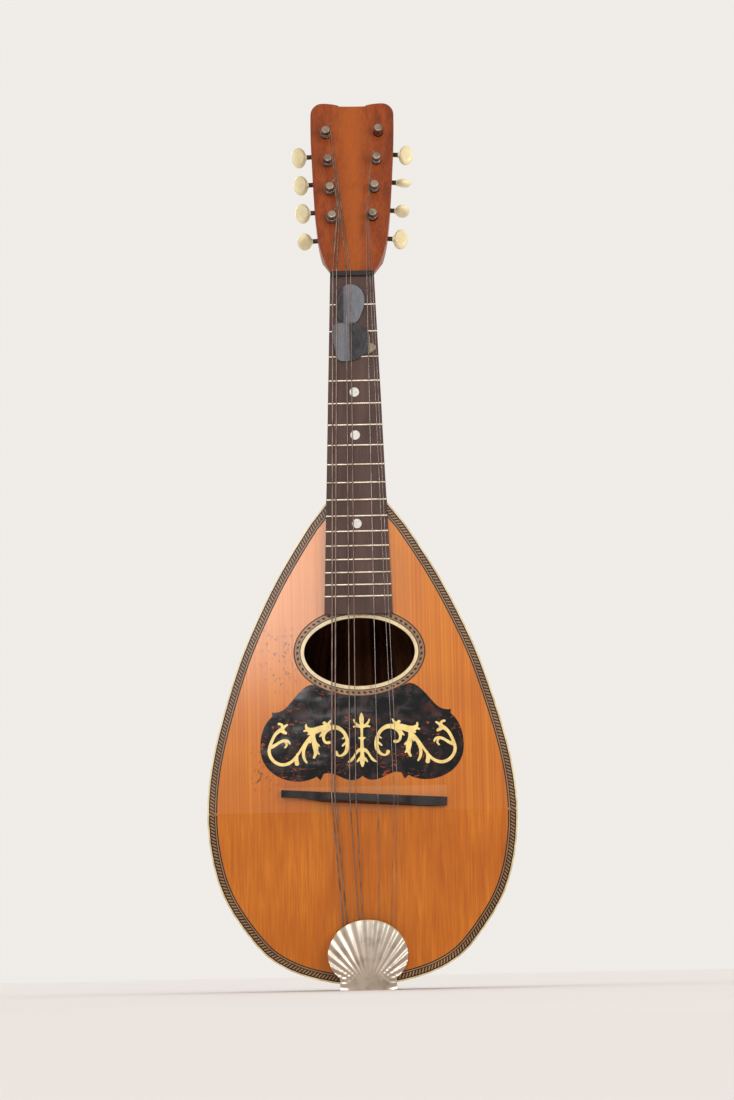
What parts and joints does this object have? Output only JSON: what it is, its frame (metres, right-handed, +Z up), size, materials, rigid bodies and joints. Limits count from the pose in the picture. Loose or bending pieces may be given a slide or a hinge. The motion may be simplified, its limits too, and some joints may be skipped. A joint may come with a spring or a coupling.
{
  "type": "mandolin",
  "caption": "Bowl-back mandolin with a canted soundboard, oval soundhole, inlaid scratchplate, floating bridge, shell-shaped tailpiece cover and geared tuning machines.",
  "frame": {"origin": "on the flat foot of the tailpiece cover, the lowest point of the instrument, in the plane of symmetry of the body", "axes": "+Z up the neck, -Y out of the soundboard towards the player, +X towards the treble strings"},
  "size_m": [0.1944, 0.1501, 0.576],
  "materials": {
    "spruce_top": "aged orange spruce, gloss varnish",
    "rosewood_ribs": "dark figured hardwood, gloss varnish",
    "neck_wood": "stained hardwood, satin varnish",
    "head_wood": "red-brown stained hardwood, gloss varnish",
    "ebonised_wood": "dark wood, rubbed satin",
    "fingerboard_wood": "worn dark hardwood, satin",
    "inner_wood": "bare wood",
    "ivory_trim": "cream celluloid",
    "purfling_wood": "pale and dark inlaid wood",
    "shell_plate": "imitation tortoiseshell, polished",
    "inlay_yellow": "yellow celluloid inlay",
    "pearl": "mother-of-pearl",
    "fret_brass": "worn brass",
    "nickel": "aged nickel plate",
    "steel": "dull steel",
    "gear_brass": "aged brass",
    "button_cream": "cream celluloid",
    "string_steel": "plain steel wire",
    "string_wound": "wound wire, tarnished",
    "plectrum_dark": "dark celluloid"
  },
  "bodies": {
    "body": {"bindings": "ivory_trim", "bowl_ribs": "rosewood_ribs", "braces": "inner_wood", "end_blocks": "inner_wood", "fret_markers": "pearl", "fretboard": "fingerboard_wood", "frets": "fret_brass", "headstock": "head_wood", "linings": "inner_wood", "mounting_screws": "steel", "neck": "neck_wood", "nut": "ebonised_wood", "plectra": "plectrum_dark", "purflings": "purfling_wood", "scratchplate": "shell_plate", "scroll_inlay": "inlay_yellow", "soundboard": "spruce_top", "strings_a": "string_steel", "strings_d": "string_wound", "strings_e": "string_steel", "strings_g": "string_wound", "tail_clasp": "rosewood_ribs", "tailpiece_base": "nickel", "tuner_plate_left": "gear_brass", "tuner_plate_right": "gear_brass"},
    "bridge": {"bridge": "ebonised_wood"},
    "tailpiece_cover": {"tailpiece_cover": "nickel"},
    "button_left_1": {"button_left_1": "button_cream", "worm_shaft_left_1": "steel"},
    "post_left_1": {"post_left_1": "nickel", "gear_left_1": "gear_brass"},
    "button_left_2": {"button_left_2": "button_cream", "worm_shaft_left_2": "steel"},
    "post_left_2": {"post_left_2": "nickel", "gear_left_2": "gear_brass"},
    "button_left_3": {"button_left_3": "button_cream", "worm_shaft_left_3": "steel"},
    "post_left_3": {"post_left_3": "nickel", "gear_left_3": "gear_brass"},
    "button_left_4": {"button_left_4": "button_cream", "worm_shaft_left_4": "steel"},
    "post_left_4": {"post_left_4": "nickel", "gear_left_4": "gear_brass"},
    "button_right_1": {"button_right_1": "button_cream", "worm_shaft_right_1": "steel"},
    "post_right_1": {"post_right_1": "nickel", "gear_right_1": "gear_brass"},
    "button_right_2": {"button_right_2": "button_cream", "worm_shaft_right_2": "steel"},
    "post_right_2": {"post_right_2": "nickel", "gear_right_2": "gear_brass"},
    "button_right_3": {"button_right_3": "button_cream", "worm_shaft_right_3": "steel"},
    "post_right_3": {"post_right_3": "nickel", "gear_right_3": "gear_brass"},
    "button_right_4": {"button_right_4": "button_cream", "worm_shaft_right_4": "steel"},
    "post_right_4": {"post_right_4": "nickel", "gear_right_4": "gear_brass"}
  },
  "joints": [
    {"name": "button_turn_left_1", "type": "hinge", "parent": "body", "child": "button_left_1", "pos_m": [-0.01186, 0.00523, 0.48258], "axis": [-0.9986, -0.0126, -0.0504], "continuous": true},
    {"name": "post_turn_left_1", "type": "hinge", "parent": "body", "child": "post_left_1", "pos_m": [-0.0122, 0.00682, 0.48893], "axis": [0, -0.9703, 0.2419], "continuous": true},
    {"name": "button_turn_left_2", "type": "hinge", "parent": "body", "child": "button_left_2", "pos_m": [-0.01294, 0.01025, 0.50269], "axis": [-0.9986, -0.0126, -0.0504], "continuous": true},
    {"name": "post_turn_left_2", "type": "hinge", "parent": "body", "child": "post_left_2", "pos_m": [-0.01328, 0.01183, 0.50904], "axis": [0, -0.9703, 0.2419], "continuous": true},
    {"name": "button_turn_left_3", "type": "hinge", "parent": "body", "child": "button_left_3", "pos_m": [-0.01401, 0.01526, 0.52279], "axis": [-0.9986, -0.0126, -0.0504], "continuous": true},
    {"name": "post_turn_left_3", "type": "hinge", "parent": "body", "child": "post_left_3", "pos_m": [-0.01435, 0.01684, 0.52915], "axis": [0, -0.9703, 0.2419], "continuous": true},
    {"name": "button_turn_left_4", "type": "hinge", "parent": "body", "child": "button_left_4", "pos_m": [-0.01509, 0.02027, 0.5429], "axis": [-0.9986, -0.0126, -0.0504], "continuous": true},
    {"name": "post_turn_left_4", "type": "hinge", "parent": "body", "child": "post_left_4", "pos_m": [-0.01543, 0.02186, 0.54925], "axis": [0, -0.9703, 0.2419], "continuous": true},
    {"name": "button_turn_right_1", "type": "hinge", "parent": "body", "child": "button_right_1", "pos_m": [0.01341, 0.00547, 0.48352], "axis": [0.9969, -0.0189, -0.0758], "continuous": true},
    {"name": "post_turn_right_1", "type": "hinge", "parent": "body", "child": "post_right_1", "pos_m": [0.01392, 0.00705, 0.48986], "axis": [0, -0.9703, 0.2419], "continuous": true},
    {"name": "button_turn_right_2", "type": "hinge", "parent": "body", "child": "button_right_2", "pos_m": [0.01503, 0.01047, 0.50359], "axis": [0.9969, -0.0189, -0.0758], "continuous": true},
    {"name": "post_turn_right_2", "type": "hinge", "parent": "body", "child": "post_right_2", "pos_m": [0.01554, 0.01205, 0.50994], "axis": [0, -0.9703, 0.2419], "continuous": true},
    {"name": "button_turn_right_3", "type": "hinge", "parent": "body", "child": "button_right_3", "pos_m": [0.01665, 0.01548, 0.52367], "axis": [0.9969, -0.0189, -0.0758], "continuous": true},
    {"name": "post_turn_right_3", "type": "hinge", "parent": "body", "child": "post_right_3", "pos_m": [0.01716, 0.01706, 0.53001], "axis": [0, -0.9703, 0.2419], "continuous": true},
    {"name": "button_turn_right_4", "type": "hinge", "parent": "body", "child": "button_right_4", "pos_m": [0.01827, 0.02048, 0.54374], "axis": [0.9969, -0.0189, -0.0758], "continuous": true},
    {"name": "post_turn_right_4", "type": "hinge", "parent": "body", "child": "post_right_4", "pos_m": [0.01878, 0.02206, 0.55008], "axis": [0, -0.9703, 0.2419], "continuous": true},
    {"name": "cover_slide", "type": "slide", "parent": "body", "child": "tailpiece_cover", "axis": [0, 0.1376, -0.9905], "range_m": [0, 0.03]},
    {"name": "bridge_shift", "type": "slide", "parent": "body", "child": "bridge", "axis": [0, 0, 1], "range_m": [0, 0.003]}
  ],
  "couplings": [
    {"joint": "post_turn_left_1", "follows": "button_turn_left_1", "ratio": -0.071429},
    {"joint": "post_turn_left_2", "follows": "button_turn_left_2", "ratio": -0.071429},
    {"joint": "post_turn_left_3", "follows": "button_turn_left_3", "ratio": -0.071429},
    {"joint": "post_turn_left_4", "follows": "button_turn_left_4", "ratio": -0.071429},
    {"joint": "post_turn_right_1", "follows": "button_turn_right_1", "ratio": -0.071429},
    {"joint": "post_turn_right_2", "follows": "button_turn_right_2", "ratio": -0.071429},
    {"joint": "post_turn_right_3", "follows": "button_turn_right_3", "ratio": -0.071429},
    {"joint": "post_turn_right_4", "follows": "button_turn_right_4", "ratio": -0.071429}
  ]
}
